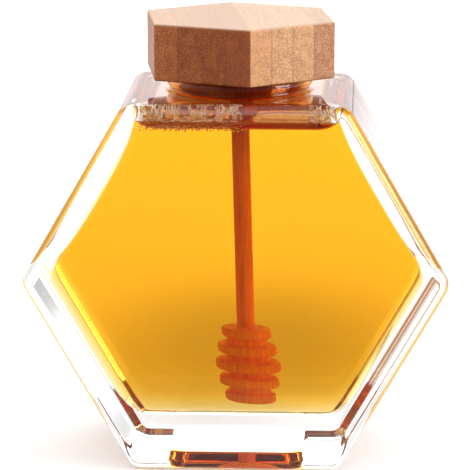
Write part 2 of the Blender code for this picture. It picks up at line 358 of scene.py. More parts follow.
def recess_grid(glass, steps=6):
    """The recess under the base: rounded rectangles that draw in evenly as they rise, eased on top."""
    rise, eased = glass.recess_height, glass.recess_height - RECESS_EASE
    turn = np.linspace(0, math.pi / 2, steps)
    height = np.concatenate([[-rise, 0, 0.5 * rise, eased - SUPPORT], eased + RECESS_EASE * np.sin(turn)])
    extra = np.concatenate([np.zeros(4), RECESS_EASE * (1 - np.cos(turn))])
    x = glass.recess_half_width - glass.recess_draw_x * (height / rise) - extra
    y = glass.recess_half_depth - glass.recess_draw_y * (height / rise) - extra
    x = np.append(x, x[-1] - SUPPORT)
    y = np.append(y, y[-1] - SUPPORT)
    corners = np.stack([np.stack(corner, 1) for corner in ((x, -y), (x, y), (-x, y), (-x, -y))], 1)
    flat = rounded_outlines(corners, np.full(len(x), glass.recess_corner), 8)
    return at_heights(flat, np.append(height, height[-1]))


def turned_grid(radius, height, steps):
    """A turned piece: the profile (radius, height) carried round the Z axis."""
    angle = np.linspace(0, 2 * math.pi, steps, endpoint=False)
    x = radius[:, None] * np.cos(angle)
    y = radius[:, None] * np.sin(angle)
    return np.stack([x, y, np.broadcast_to(height[:, None], x.shape)], axis=-1)


def grid_mesh(name, grid):
    """A closed mesh from rows of closed rings: quads between rows, a flat cap on the first and last row."""
    rows, columns = grid.shape[:2]
    index = np.arange(rows * columns).reshape(rows, columns)
    after = np.roll(index, -1, axis=1)
    quads = np.stack([index[:-1], after[:-1], after[1:], index[1:]], axis=-1).reshape(-1, 4)
    faces = quads.tolist() + [index[0, ::-1].tolist(), index[-1].tolist()]
    mesh = bpy.data.meshes.new(name)
    mesh.from_pydata(grid.reshape(-1, 3), [], faces)
    bm = bmesh.new()
    bm.from_mesh(mesh)
    bmesh.ops.recalc_face_normals(bm, faces=bm.faces)
    bm.to_mesh(mesh)
    bm.free()
    mesh.shade_smooth()
    return mesh


def new_object(name, mesh, *materials):
    """An object at the origin for a mesh, with its materials in order."""
    for material in materials:
        mesh.materials.append(material)
    obj = bpy.data.objects.new(name, mesh)
    bpy.context.scene.collection.objects.link(obj)
    return obj


def combine(target, other, operation):
    """Joins or cuts target with other, keeps the result as its mesh, and removes other."""
    modifier = target.modifiers.new(operation, "BOOLEAN")
    modifier.operation = operation
    modifier.solver = "EXACT"
    modifier.object = other
    settle(target)
    bpy.data.objects.remove(other)


def settle(obj):
    """Makes what the modifiers show the object's own mesh."""
    graph = bpy.context.evaluated_depsgraph_get()
    mesh = bpy.data.meshes.new_from_object(obj.evaluated_get(graph))
    obj.modifiers.clear()
    obj.data = mesh


def even_normals(obj):
    """Gives large flat faces their true normals, so that rounded edges don't bend what is seen through."""
    obj.data.shade_smooth()
    obj.data.set_sharp_from_angle(angle=SHARP)
    modifier = obj.modifiers.new("even normals", "WEIGHTED_NORMAL")
    modifier.weight = 100
    modifier.keep_sharp = True
    settle(obj)


def cut_level(mesh, level):
    """Splits the faces that cross a height, so that each lies above or below it."""
    bm = bmesh.new()
    bm.from_mesh(mesh)
    everything = bm.verts[:] + bm.edges[:] + bm.faces[:]
    bmesh.ops.bisect_plane(bm, geom=everything, plane_co=(0, 0, level), plane_no=(0, 0, 1))
    bm.to_mesh(mesh)
    bm.free()


def face_centres(mesh):
    """The middle of each face, (faces, 3)."""
    centres = np.empty(len(mesh.polygons) * 3, np.float32)
    mesh.polygons.foreach_get("center", centres)
    return centres.reshape(-1, 3)


def finish_piece(obj, slot, *nodes):
    """Fixes a piece to the pot and hides the imported nodes that it stands for; its slot is not used."""
    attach(obj, "root")
    if nodes:
        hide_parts(*nodes)


def blank_material(name):
    """A new material, its node tree and its shader."""
    material = bpy.data.materials.new(name)
    material.use_nodes = True
    tree = material.node_tree
    return material, tree, tree.nodes["Principled BSDF"]


def connect(tree, node, inputs):
    """Sets each socket of a node to its value, or links it to the output given for it."""
    for socket, value in inputs.items():
        if isinstance(value, bpy.types.NodeSocket):
            tree.links.new(value, node.inputs[socket])
        else:
            node.inputs[socket].default_value = value


def add_node(tree, kind, inputs, **settings):
    """A new shader node with its own settings, and its sockets set or linked."""
    node = tree.nodes.new("ShaderNode" + kind)
    for name, value in settings.items():
        setattr(node, name, value)
    connect(tree, node, inputs)
    return node


def coordinates(tree, kind="Object"):
    """The coordinates that a pattern lies on."""
    return tree.nodes.new("ShaderNodeTexCoord").outputs[kind]


def maths(tree, operation, *values):
    """The result of a Math node on values or outputs."""
    return add_node(tree, "Math", dict(enumerate(values)), operation=operation).outputs[0]


def fade(tree, value, start, end, low, high, curve="SMOOTHSTEP"):
    """Goes from low to high along the curve while the value goes from start to end."""
    limits = {"From Min": start, "From Max": end, "To Min": low, "To Max": high}
    node = add_node(tree, "MapRange", {"Value": value, **limits}, interpolation_type=curve)
    return node.outputs["Result"]


def colour_ramp(tree, factor, *stops):
    """A colour that goes evenly from one stop, a position and a colour, to the other."""
    ramp = add_node(tree, "ValToRGB", {"Fac": factor})
    for element, (position, colour) in zip(ramp.color_ramp.elements, stops):
        element.position = position
        element.color = (*colour, 1)
    return ramp.outputs["Color"]


def mixed(tree, factor, colour, other, blend="MIX"):
    """A colour mixed with another one, or multiplied by it, as far as the factor says."""
    inputs = {"Factor": factor, "A": colour, "B": (*other, 1)}
    return add_node(tree, "Mix", inputs, data_type="RGBA", blend_type=blend).outputs["Result"]


def grain(tree, height, scale, detail):
    """Noise that is stretched along Z: its Z coordinate is multiplied by height first."""
    stretched = add_node(tree, "Mapping", {"Vector": coordinates(tree), "Scale": (1.0, 1.0, height)})
    noise = {"Vector": stretched.outputs["Vector"], "Scale": scale, "Detail": detail}
    return add_node(tree, "TexNoise", noise).outputs["Fac"]


def clear_material(name, ior, colour=(1.0, 1.0, 1.0)):
    """Something smooth that light passes through, tinted by the root of its colour each time."""
    material, tree, shader = blank_material(name)
    connect(tree, shader, {
        "Base Color": (*colour, 1.0), "Roughness": 0.0, "IOR": ior, "Transmission Weight": 1.0})
    return material


def honey_material(looks):
    """The body of the honey: light goes in without bending, because the wet glass has bent it already."""
    material = clear_material("honey body", 1.0)
    tree = material.node_tree
    absorb = add_node(
        tree, "VolumeAbsorption", {"Color": (*looks.colour, 1.0), "Density": looks.strength})
    tree.links.new(absorb.outputs["Volume"], tree.nodes["Material Output"].inputs["Volume"])
    return material


NECK_SUNK = 0.0015
FLARE_SUNK = 0.0003
BORE_ROUND = 0.004
BORE_RISE = 0.0012
BORE_DROP = 0.0016
BORE_PAST = 0.002
NECK_STEPS = 128
CEILING_MARGIN = 0.0002


def neck_profile(glass, top, steps=10):
    """The neck's outside from inside the shoulder to the rim: a flare, a waist and a rounded bead."""
    turn = np.linspace(0, math.pi / 2, steps)
    flare_r = glass.waist_radius + glass.flare * (1 - np.sin(turn))
    flare_z = glass.body_top - FLARE_SUNK + (glass.bead_bottom - glass.body_top) * (1 - np.cos(turn))
    middle, half = (top + glass.bead_bottom) / 2, (top - glass.bead_bottom) / 2
    round_bead = np.radians(np.linspace(-75, 90, 2 * steps))
    bead_r = glass.waist_radius + (glass.bead_radius - glass.waist_radius) * np.cos(round_bead)
    bead_z = middle + half * np.sin(round_bead)
    r = np.concatenate([[glass.waist_radius + glass.flare], flare_r, bead_r])
    z = np.concatenate([[glass.body_top - NECK_SUNK], flare_z, bead_z])
    return r, z


def bore_profile(glass, top, steps=10):
    """The mouth's bore, opening out in a quarter round into the cavity."""
    turn = np.linspace(0, math.pi / 2, steps)
    wide = glass.bore_radius + BORE_ROUND
    r = np.concatenate([[glass.bore_radius], glass.bore_radius + BORE_ROUND * (1 - np.cos(turn)), [wide]])
    z = glass.ceiling + BORE_RISE - BORE_DROP * np.sin(turn)
    return r, np.concatenate([[top + BORE_PAST], z, [glass.ceiling - BORE_PAST]])


class HONEYPOT_OT_glass(bpy.types.Operator):
    """Make the thick glass jar: clear outside, wet inside up to the honey, smeared over it and in the bore"""
    bl_idname = "honeypot.glass"
    bl_label = "Glass jar"

    def execute(self, context):
        glass, honey = context.scene.pot_glass, context.scene.pot_honey
        clear = clear_material("clear glass", GLASS_IOR)
        wet = clear_material("glass against honey", GLASS_IOR / HONEY_IOR, honey.stain)
        smeared = clear_material("smeared glass", GLASS_IOR, honey.smear)
        jar = new_object("glass_body", grid_mesh("glass_body", body_grid(glass)), clear, wet, smeared)
        neck_grid = turned_grid(*neck_profile(glass, JAR_HIGH.z), NECK_STEPS)
        neck = new_object("neck", grid_mesh("neck", neck_grid), smeared)
        cavity = new_object("cavity", grid_mesh("cavity", cavity_grid(glass, 0.0)), clear, wet, smeared)
        contact = honey.level + honey.climb
        cut_level(cavity.data, contact)
        centre = face_centres(cavity.data)
        clean = (centre[:, 1] < 0) & (centre[:, 2] < glass.ceiling - CEILING_MARGIN)
        kind = np.where(centre[:, 2] < contact, WET, np.where(clean, CLEAR, SMEARED))
        cavity.data.polygons.foreach_set("material_index", kind.astype(np.int32))
        bore_grid = turned_grid(*bore_profile(glass, JAR_HIGH.z), NECK_STEPS)
        bore = new_object("bore", grid_mesh("bore", bore_grid), smeared)
        recess = new_object("recess", grid_mesh("recess", recess_grid(glass)), clear)
        combine(jar, neck, "UNION")
        combine(jar, cavity, "DIFFERENCE")
        combine(jar, bore, "DIFFERENCE")
        combine(jar, recess, "DIFFERENCE")
        even_normals(jar)
        finish_piece(jar, "glass", "glass_jar")
        return {"FINISHED"}


HEAD_TOP = 0.0376
HEAD_BOTTOM = 0.0152
DISC_RADII = (0.0075, 0.0088, 0.00965, 0.0087, 0.0073)
DISC_THICKNESS = 0.00285
DISC_ROUND = 0.0008
FOOT_RADII = (0.0004, 0.0035)
EASE = 0.0002
BOSS_BOTTOM = 0.1012
DIPPER_END = 0.1085
DIPPER_X_AT_TOP = 0.00037
DIPPER_LEAN = 0.0266
HEAD_EXTRA_LEAN = 0.040
HEAD_LEAN_STARTS = 0.043
SLOPE_STEP = 0.0005


def dipper_centre(z):
    """X of the dipper's centre line: a straight lean, and a little more from just above its head down."""
    below = np.clip(HEAD_LEAN_STARTS - z, 0, None)
    bend = np.minimum(below, HEAD_LEAN_STARTS - HEAD_TOP)
    return DIPPER_X_AT_TOP + (DIPPER_END - z) * DIPPER_LEAN + HEAD_EXTRA_LEAN * (below - bend / 2)


def dipper_profile(looks, steps=6):
    """(radius, height) up the dipper: five discs with rounded edges, grooves, the handle and the boss."""
    pitch = (HEAD_TOP - HEAD_BOTTOM - DISC_THICKNESS) / (len(DISC_RADII) - 1)
    corner = np.linspace(-math.pi / 2, 0, steps)
    groove = np.array([looks.groove_radius, looks.groove_radius + EASE])
    r, z = [], []
    for k, radius in enumerate(DISC_RADII):
        low = HEAD_BOTTOM + k * pitch
        high = low + DISC_THICKNESS
        edge = radius - DISC_ROUND + DISC_ROUND * np.cos(corner)
        first, last = k == 0, k == len(DISC_RADII) - 1
        r += [FOOT_RADII if first else groove, edge, edge[::-1]]
        z += [
            [low, low] if first else [low - EASE, low], low + DISC_ROUND + DISC_ROUND * np.sin(corner),
            (high - DISC_ROUND - DISC_ROUND * np.sin(corner))[::-1]]
        if not last:
            r.append(groove[::-1])
            z.append([high, high + EASE])
    handle, boss = looks.handle_radius, looks.boss_radius
    shaft = np.linspace(HEAD_TOP + 20 * EASE, BOSS_BOTTOM - 6 * EASE, 40)
    r += [
        [handle + 2 * EASE, handle + EASE / 2, handle], np.full(len(shaft), handle),
        [boss - 1.5 * EASE, boss, boss, boss - 2 * EASE]]
    z += [
        [HEAD_TOP, HEAD_TOP + EASE, HEAD_TOP + 3 * EASE], shaft,
        [BOSS_BOTTOM - EASE, BOSS_BOTTOM + EASE, DIPPER_END - 2 * EASE, DIPPER_END]]
    return np.concatenate(r), np.concatenate(z)


def leaning_grid(radius, height, steps):
    """Rings of the profile, each square to the leaning centre line, whose slope is a central difference."""
    slope = (dipper_centre(height + SLOPE_STEP) - dipper_centre(height - SLOPE_STEP)) / (2 * SLOPE_STEP)
    along = 1 / np.hypot(1, slope)
    angle = np.linspace(0, 2 * math.pi, steps, endpoint=False)
    across = radius[:, None] * np.cos(angle)
    x = dipper_centre(height)[:, None] + across * along[:, None]
    y = radius[:, None] * np.sin(angle)
    z = height[:, None] + across * (slope * along)[:, None]
    return np.stack([x, y, z], axis=-1)


def contact_half_depth(glass, height):
    """Half size along Y of the cavity at a height near its ceiling, from its rim's arc."""
    r = glass.ceiling_rim_radius
    rise = max(height - (glass.ceiling - r), 0)
    return glass.half_depth - glass.face_wall - r + math.sqrt(r * r - rise * rise)


def section_half_width(glass, height, x, y):
    """Half width along X of the cavity at a height near its ceiling, for x's side and depth y.

    It is that of the slanted side or, in the corner's upper half, of the corner's arc, less the bulge.
    """
    half_depth = glass.half_depth - glass.face_wall
    side = rim_inset(y, half_depth, glass.side_rim_radius)
    high = glass.ceiling - rim_inset(y, half_depth, glass.ceiling_rim_radius)
    corner = glass.inner_corner_radius - side
    steepness = math.tan(SIDE_SLOPE)
    upper = glass.half_width - (glass.side_wall - glass.upper_thinning + side) / math.sin(SIDE_SLOPE)
    straight = upper - (height - glass.corner_height) / steepness
    middle = upper - (high - glass.corner_height) / steepness - corner * math.tan(SIDE_SLOPE / 2)
    rise = np.clip(height - (high - corner), 0, corner)
    arc = middle + np.sqrt(corner ** 2 - rise ** 2)
    return np.where(rise > corner / 2, arc, straight) - upper_bulge(glass, x, height)


SURFACE_ROUNDING = 0.007
HANDLE_REACH = 0.6


def surface_height(glass, looks, wood, x, y):
    """Height of the honey's surface: the level, plus climb * exp(-distance / reach) at glass and handle.

    The distance to the glass is that to a rounded rectangle, the cavity's section where the honey ends.
    """
    contact = looks.level + looks.climb
    half_x, half_y = section_half_width(glass, contact, x, 0.0), contact_half_depth(glass, contact)
    past_x = np.abs(x) - (half_x - SURFACE_ROUNDING)
    past_y = np.abs(y) - (half_y - SURFACE_ROUNDING)
    outside = np.hypot(np.maximum(past_x, 0), np.maximum(past_y, 0))
    inward = np.maximum(SURFACE_ROUNDING - outside - np.minimum(np.maximum(past_x, past_y), 0), 0)
    from_handle = np.hypot(x - dipper_centre(np.array(looks.level)), y) - wood.handle_radius
    handle_reach = looks.climb_reach * HANDLE_REACH
    on_handle = looks.climb_dipper * np.exp(-np.maximum(from_handle, 0) / handle_reach)
    return looks.level + looks.climb * np.exp(-inward / looks.climb_reach) + on_handle


def mesh_of(name, points, faces):
    """A smooth-shaded mesh of points and lists of faces."""
    mesh = bpy.data.meshes.new(name)
    mesh.from_pydata(points.reshape(-1, 3), [], faces)
    mesh.shade_smooth()
    return mesh


def slab_mesh(name, x, y, bottom, top):
    """A closed block between two heights given over the same grid of (x, y) points."""
    points = np.stack([np.stack([x, y, z], axis=-1) for z in (bottom, top)])
    index = np.arange(x.size).reshape(x.shape)
    quads = np.stack([index[:-1, :-1], index[:-1, 1:], index[1:, 1:], index[1:, :-1]], axis=-1)
    quads = quads.reshape(-1, 4)
    edge = np.concatenate([index[0, :-1], index[:-1, -1], index[-1, :0:-1], index[:0:-1, 0]])
    after = np.roll(edge, -1)
    sides = np.stack([edge, after, after + x.size, edge + x.size], axis=-1)
    return mesh_of(name, points, np.concatenate([quads[:, ::-1], quads + x.size, sides]).tolist())


AIR_HALF_WIDTH = 0.036
AIR_HALF_DEPTH = 0.0285
AIR_ABOVE = 0.02
EVEN_SHARE = 0.35


def air_mesh(name, glass, looks, wood):
    """The air over the honey: from within its surface film up past the shoulder, wider than the cavity."""
    x, y = np.meshgrid(
        np.linspace(-AIR_HALF_WIDTH, AIR_HALF_WIDTH, 181),
        np.linspace(-AIR_HALF_DEPTH, AIR_HALF_DEPTH, 144))
    height = surface_height(glass, looks, wood, x, y)
    return slab_mesh(name, x, y, height - FILM / 2, np.full(x.shape, glass.ceiling + AIR_ABOVE))


def spaced(count):
    """Numbers from -1 to 1 that lie closer together near both ends: an even part and a sine part."""
    t = np.linspace(-1, 1, count)
    return EVEN_SHARE * t + (1 - EVEN_SHARE) * np.sin(t * math.pi / 2)


def skin_mesh(name, glass, looks, wood, rows=121, columns=181):
    """The honey's surface as a thin film that ends just inside the glass, with more points at its edge."""
    half_depth = glass.half_depth - glass.face_wall
    deep, across = spaced(rows), spaced(columns)
    contact = looks.level + looks.climb
    reach = section_half_width(glass, contact, across, (deep * half_depth)[:, None]) + INTO_WALL
    x = reach * across
    y = np.broadcast_to((deep * (half_depth + INTO_WALL))[:, None], x.shape)
    height = surface_height(glass, looks, wood, x, y)
    return slab_mesh(name, x, y, height - FILM, height)


def cut_well(obj, wood):
    """Takes the dipper's space out of the honey, a little less than the wood so that no gap shows."""
    radius, height = dipper_profile(wood)
    well = new_object("well", grid_mesh("well", leaning_grid(radius - INTO_WOOD, height, 48)))
    combine(obj, well, "DIFFERENCE")


class HONEYPOT_OT_honey(bpy.types.Operator):
    """Make the honey: a body that reaches just into the glass, and the thin skin of its surface"""
    bl_idname = "honeypot.honey"
    bl_label = "Honey"

    def execute(self, context):
        scene = context.scene
        glass, looks, wood = scene.pot_glass, scene.pot_honey, scene.pot_dipper
        body = new_object(
            "honey_body", grid_mesh("honey_body", cavity_grid(glass, -INTO_WALL)), honey_material(looks))
        air = new_object("air", air_mesh("air", glass, looks, wood))
        combine(body, air, "DIFFERENCE")
        cut_well(body, wood)
        skin = new_object(
            "honey_skin", skin_mesh("honey_skin", glass, looks, wood),
            clear_material("honey surface", HONEY_IOR, looks.film),
            clear_material("under honey surface", 1.0, looks.film))
        centres = face_centres(skin.data)
        surface = surface_height(glass, looks, wood, centres[:, 0], centres[:, 1])
        under = centres[:, 2] < surface - FILM * 0.4
        skin.data.polygons.foreach_set("material_index", under.astype(np.int32))
        for obj in (body, skin):
            obj.data.shade_smooth()
            obj.data.set_sharp_from_angle(angle=SHARP)
            finish_piece(obj, "honey", *(("honey",) if obj is body else ()))
        return {"FINISHED"}


def sphere_grid(rows, columns):
    """Points of a unit sphere: rows from pole to pole, columns round the Z axis, poles given once each."""
    down = np.linspace(0, math.pi, rows + 1)[1:-1]
    angle = np.linspace(0, 2 * math.pi, columns, endpoint=False)
    ring = np.stack([
        np.sin(down)[:, None] * np.cos(angle), np.sin(down)[:, None] * np.sin(angle),
        np.broadcast_to(np.cos(down)[:, None], (rows - 1, columns))], axis=-1).reshape(-1, 3)
    points = np.concatenate([ring, [[0, 0, 1], [0, 0, -1]]])
    index = np.arange((rows - 1) * columns).reshape(rows - 1, columns)
    after = np.roll(index, -1, axis=1)
    quads = np.stack([index[:-1], index[1:], after[1:], after[:-1]], axis=-1).reshape(-1, 4)
    top, bottom = len(points) - 2, len(points) - 1
    head = np.stack([np.full(columns, top), index[0], after[0]], axis=-1)
    foot = np.stack([np.full(columns, bottom), after[-1], index[-1]], axis=-1)
    return points, quads, np.concatenate([head, foot])


def balls_mesh(name, centres, radii, rows=9, columns=14, height=1.0, inside_out=False):
    """Many flattened balls in one mesh: centre + radius * the points of the unit sphere, Z times height."""
    points, quads, triangles = sphere_grid(rows, columns)
    where = centres[:, None, :] + radii[:, None, None] * points * (1, 1, height)
    offset = (np.arange(len(centres)) * len(points))[:, None, None]
    quads = (quads[None] + offset).reshape(-1, 4)
    triangles = (triangles[None] + offset).reshape(-1, 3)
    if inside_out:
        quads, triangles = quads[:, ::-1], triangles[:, ::-1]
    return mesh_of(name, where, quads.tolist() + triangles.tolist())


def rings_mesh(name, centres, radii, thickness, height, rows=6, columns=20):
    """Many rings round lines along Y in one mesh, each flattened to a share of its height.

    A point lies (radius + t cos v) from the line at the angle u, and t sin v along it.
    """
    round_y = np.linspace(0, 2 * math.pi, columns, endpoint=False)
    tube = np.linspace(0, 2 * math.pi, rows, endpoint=False)
    thick = thickness[:, None, None]
    reach = radii[:, None, None] + thick * np.cos(tube)
    x = centres[:, 0, None, None] + reach * np.cos(round_y)[:, None]
    y = centres[:, 1, None, None] + thick * np.broadcast_to(np.sin(tube), (columns, rows))
    z = centres[:, 2, None, None] + height * reach * np.sin(round_y)[:, None]
    index = np.arange(columns * rows).reshape(columns, rows)
    beside, after = np.roll(index, -1, axis=1), np.roll(index, -1, axis=0)
    quads = np.stack([index, beside, np.roll(beside, -1, axis=0), after], axis=-1).reshape(-1, 4)
    offset = (np.arange(len(centres)) * columns * rows)[:, None, None]
    return mesh_of(name, np.stack([x, y, z], axis=-1), (quads[None] + offset).reshape(-1, 4).tolist())


def border_material():
    """Where the foam's bubbles meet: cream, a little clear, with browner places, glowing a little as a
    painted highlight.
    """
    material, tree, shader = blank_material("foam borders")
    colour = colour_ramp(
        tree, grain(tree, 1.0, 900.0, 2.0), (0.35, (0.60, 0.33, 0.13)), (0.60, (1.0, 0.94, 0.82)))
    # Painted highlight: the borders glow in their own colour, standing in for the bright reflections at the
    # bubbles' edges.
    connect(tree, shader, {
        "Base Color": colour, "Emission Color": colour, "Emission Strength": 0.30,
        "Transmission Weight": 0.15, "Roughness": 0.25})
    return material


CORNER_MARGIN = 0.0012


def room_under_ceiling(glass, x, y, z):
    """Distance from a point to the nearest wall of the cavity's top: ceiling, rim arc or slanted side."""
    half_depth = glass.half_depth - glass.face_wall
    r = glass.ceiling_rim_radius
    past = np.maximum(np.abs(y) - (half_depth - r), 0)
    rise = z - (glass.ceiling - r)
    vertical = r - np.hypot(past, np.maximum(rise, 0))
    upper = glass.half_width - (glass.side_wall - glass.upper_thinning) / math.sin(SIDE_SLOPE)
    slant = (upper - (z - glass.corner_height) / math.tan(SIDE_SLOPE) - np.abs(x)) * math.sin(SIDE_SLOPE)
    return np.minimum(vertical, slant - CORNER_MARGIN - upper_bulge(glass, x, z))


def scatter(count, draw, clearance, spread, height=1.0):
    """Places balls one after another where they touch no wall and hardly overlap one another."""
    centres, radii = np.zeros((0, 3)), np.zeros(0)
    for _ in range(TRIES):
        centre, radius = draw()
        if clearance(*centre) < radius:
            continue
        if len(radii):
            apart = np.linalg.norm((centres - centre) / (1, 1, height), axis=1)
            if np.any(apart < (radii + radius) * spread):
                continue
        centres = np.concatenate([centres, [centre]])
        radii = np.append(radii, radius)
        if len(radii) == count:
            break
    return centres, radii


TRIES = 9000
FLATNESS = 0.55
FOAM_RADII = (0.0019, 0.0014, 0.0010, 0.0007, 0.0005)
FOAM_SHARES = (0.34, 0.20, 0.18, 0.16, 0.12)
FOAM_LEFT = (-0.031, 0.001)
FOAM_RIGHT = (0.021, 0.030)
FOAM_SPREAD = 0.93
FOAM_SUNK = 0.0006
FOAM_OFF_WALL = 0.00025
SMALL_RADII = (0.00018, 0.00042)
SMALL_PLACES = (-0.030, -0.018, 0.004)


class HONEYPOT_OT_foam(bpy.types.Operator):
    """Make the foam: bubbles on the honey along its edge with cream borders, and small ones under it"""
    bl_idname = "honeypot.foam"
    bl_label = "Foam"

    def execute(self, context):
        scene = context.scene
        glass, looks, wood = scene.pot_glass, scene.pot_honey, scene.pot_dipper
        draw = np.random.default_rng(11)
        wall_y = glass.half_depth - glass.face_wall
        contact = looks.level + looks.climb

        def on_surface():
            radius = draw.choice(FOAM_RADII, p=FOAM_SHARES)
            radius *= draw.uniform(0.85, 1.15)
            side = -1 if draw.random() < 0.8 else 1
            x = draw.uniform(*FOAM_LEFT)
            if draw.random() > 0.85:
                x, radius = draw.uniform(*FOAM_RIGHT), radius * 0.5
            y = side * (wall_y - radius - draw.exponential(FOAM_OFF_WALL))
            low, high = contact - FOAM_SUNK + FLATNESS * radius, glass.ceiling - FLATNESS * radius
            return np.array([x, y, draw.uniform(low, high)]), radius

        def just_under():
            radius = draw.uniform(*SMALL_RADII)
            side = -1 if draw.random() < 0.75 else 1
            x = draw.triangular(*SMALL_PLACES)
            y = side * (wall_y - radius - 0.00005 - draw.uniform(0.0, 0.0006))
            surface = float(surface_height(glass, looks, wood, np.array(x), np.array(y)))
            return np.array([x, y, draw.uniform(looks.level + 0.0002, surface - FILM - radius)]), radius

        def clearance(x, y, z):
            return room_under_ceiling(glass, x, y, z)

        def flat_clearance(x, y, z):
            return clearance(x, y, z) / FLATNESS

        half = looks.bubbles // 2
        centres, radii = scatter(half, on_surface, flat_clearance, FOAM_SPREAD, FLATNESS)
        foam = new_object(
            "foam", balls_mesh("foam", centres, radii, height=FLATNESS),
            clear_material("foam walls", 1.40, looks.foam))
        inside = radii * 0.80 - 0.00004
        join(foam, new_object(
            "foam_lining", balls_mesh("foam_lining", centres, inside, height=FLATNESS, inside_out=True)))
        finish_piece(foam, "honey")
        thickness = 0.00006 + 0.06 * radii
        rings = rings_mesh("foam_borders", centres, radii - thickness, thickness, FLATNESS)
        finish_piece(new_object("foam_borders", rings, border_material()), "honey")
        centres, radii = scatter(half, just_under, clearance, 1.0)
        small = new_object(
            "small_bubbles", balls_mesh("small_bubbles", centres, radii, 7, 10),
            clear_material("air in honey", 1 / HONEY_IOR))
        finish_piece(small, "honey")
        return {"FINISHED"}


def join(obj, other):
    """Adds the other object's mesh to this one's."""
    bm = bmesh.new()
    bm.from_mesh(obj.data)
    bm.from_mesh(other.data)
    bm.to_mesh(obj.data)
    bm.free()
    bpy.data.objects.remove(other)


def dipper_material(looks):
    """Turned wood soaked in honey: fine grain along the handle, darker in the pores, glowing evenly in its
    own colour as painted light.
    """
    material, tree, shader = blank_material("soaked dipper wood")
    r, g, b = looks.wood
    pores = grain(tree, 0.06, 1400.0, 4.0)
    colour = colour_ramp(
        tree, pores, (0.3, (r * 0.84, g * 0.70, b * 0.6)), (0.62, (min(r * 1.06, 1), g * 1.1, b * 1.15)))
    bump = add_node(tree, "Bump", {"Height": pores, "Strength": 0.25, "Distance": 0.0002})
    # Painted light: the wood's colour glows with the glow strength.
    connect(tree, shader, {
        "Base Color": colour, "Normal": bump.outputs["Normal"], "Roughness": 0.45,
        "Emission Color": colour, "Emission Strength": looks.glow})
    return material


class HONEYPOT_OT_dipper(bpy.types.Operator):
    """Make the turned wooden dipper that hangs from the stopper"""
    bl_idname = "honeypot.dipper"
    bl_label = "Dipper"

    def execute(self, context):
        looks = context.scene.pot_dipper
        radius, height = dipper_profile(looks)
        dipper = new_object(
            "dipper_wood", grid_mesh("dipper_wood", leaning_grid(radius, height, 96)), dipper_material(looks))
        dipper.data.set_sharp_from_angle(angle=SHARP)
        finish_piece(dipper, "dipper_wood", "dipper")
        return {"FINISHED"}


def stopper_material():
    """Dark wood with a little grain up and down."""
    material, tree, shader = blank_material("dark stopper")
    colour = colour_ramp(
        tree, grain(tree, 0.2, 900.0, 2.0), (0.35, (0.28, 0.040, 0.016)), (0.65, (0.55, 0.095, 0.034)))
    connect(tree, shader, {"Base Color": colour, "Roughness": 0.4})
    return material


class HONEYPOT_OT_stopper(bpy.types.Operator):
    """Give the round stopper its dark wood"""
    bl_idname = "honeypot.stopper"
    bl_label = "Stopper"

    def execute(self, context):
        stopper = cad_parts["stopper"]
        stopper.data.materials.clear()
        stopper.data.materials.append(stopper_material())
        return {"FINISHED"}


def bamboo_material(looks):
    """Laminated bamboo: strips side by side along the lid's corner diagonal, fibres that run along them.

    A strip's number is the whole part of X / strip, and sets its tone. The fibres are cells stretched along
    Y, over broader noise. The strips at the left of the front corner are made darker, most just beside it:
    painted shade for the lid's shaded left side. The seams are dark joints, and the underside is made darker
    as painted shade.
    """
    material, tree, shader = blank_material("laminated bamboo")

    def sums(operation, *values):
        return maths(tree, operation, *values)

    turned = add_node(
        tree, "Mapping", {"Vector": coordinates(tree), "Rotation": (0, 0, -looks.turn)}).outputs["Vector"]
    x, _, z = add_node(tree, "SeparateXYZ", {"Vector": turned}).outputs
    strips = sums("DIVIDE", x, looks.strip)
    number, across = sums("FLOOR", strips), sums("FRACT", strips)
    seam = sums("LESS_THAN", sums("MINIMUM", across, sums("SUBTRACT", 1.0, across)), 0.035)
    tone = add_node(tree, "TexWhiteNoise", {"W": sums("ADD", number, 0.5)}, noise_dimensions="1D")
    along = add_node(tree, "Mapping", {"Vector": turned, "Scale": (1.0, 0.035, 1.0)}).outputs["Vector"]
    fibres = add_node(tree, "TexVoronoi", {"Vector": along, "Scale": 2300.0}).outputs["Distance"]
    broad = add_node(tree, "TexNoise", {"Vector": along, "Scale": 420.0, "Detail": 3.0}).outputs["Fac"]
    amount = sums("MULTIPLY_ADD", fibres, 0.75, sums("MULTIPLY_ADD", broad, 0.7, -0.30))
    amount = sums("ADD", amount, sums("MULTIPLY_ADD", tone.outputs["Value"], 0.40, -0.20))
    colour = colour_ramp(tree, amount, (0.12, looks.dark), (0.78, looks.pale))
    # Painted shade: the strips left of the front corner are made darker, for the lid's shaded left side.
    painted_left_shade = fade(tree, number, 0.5, -1.5, 0.0, 1.0, "LINEAR")
    colour = mixed(tree, painted_left_shade, colour, (0.97, 0.62, 0.38), "MULTIPLY")
    painted_corner_shade = sums("MULTIPLY", sums("LESS_THAN", number, -0.5), sums("MULTIPLY_ADD", number, 0.4, 1.4))
    colour = mixed(tree, sums("MAXIMUM", painted_corner_shade, 0.0), colour, (0.68, 0.45, 0.32), "MULTIPLY")
    on_top = sums("GREATER_THAN", z, LID_HIGH.z - looks.edge * 0.6)
    colour = mixed(tree, sums("MULTIPLY", on_top, 0.66), colour, looks.top)
    # Painted shade: the lid's underside is made darker, as it lies in shade; the seams are dark joints.
    painted_underside_shade = sums("LESS_THAN", z, LID_LOW.z + looks.edge * 0.4)
    in_seam = sums("MULTIPLY", seam, sums("SUBTRACT", 0.30, sums("MULTIPLY", on_top, 0.24)))
    seams_and_painted_shade = sums("MAXIMUM", in_seam, sums("MULTIPLY", painted_underside_shade, 0.8))
    colour = mixed(tree, seams_and_painted_shade, colour, (0.16, 0.06, 0.025))
    relief = sums("SUBTRACT", fibres, seam)
    bump = add_node(tree, "Bump", {"Height": relief, "Strength": 0.3, "Distance": 0.0002})
    connect(tree, shader, {"Base Color": colour, "Normal": bump.outputs["Normal"], "Roughness": 0.5})
    return material


LID_RADIUS = 0.02994


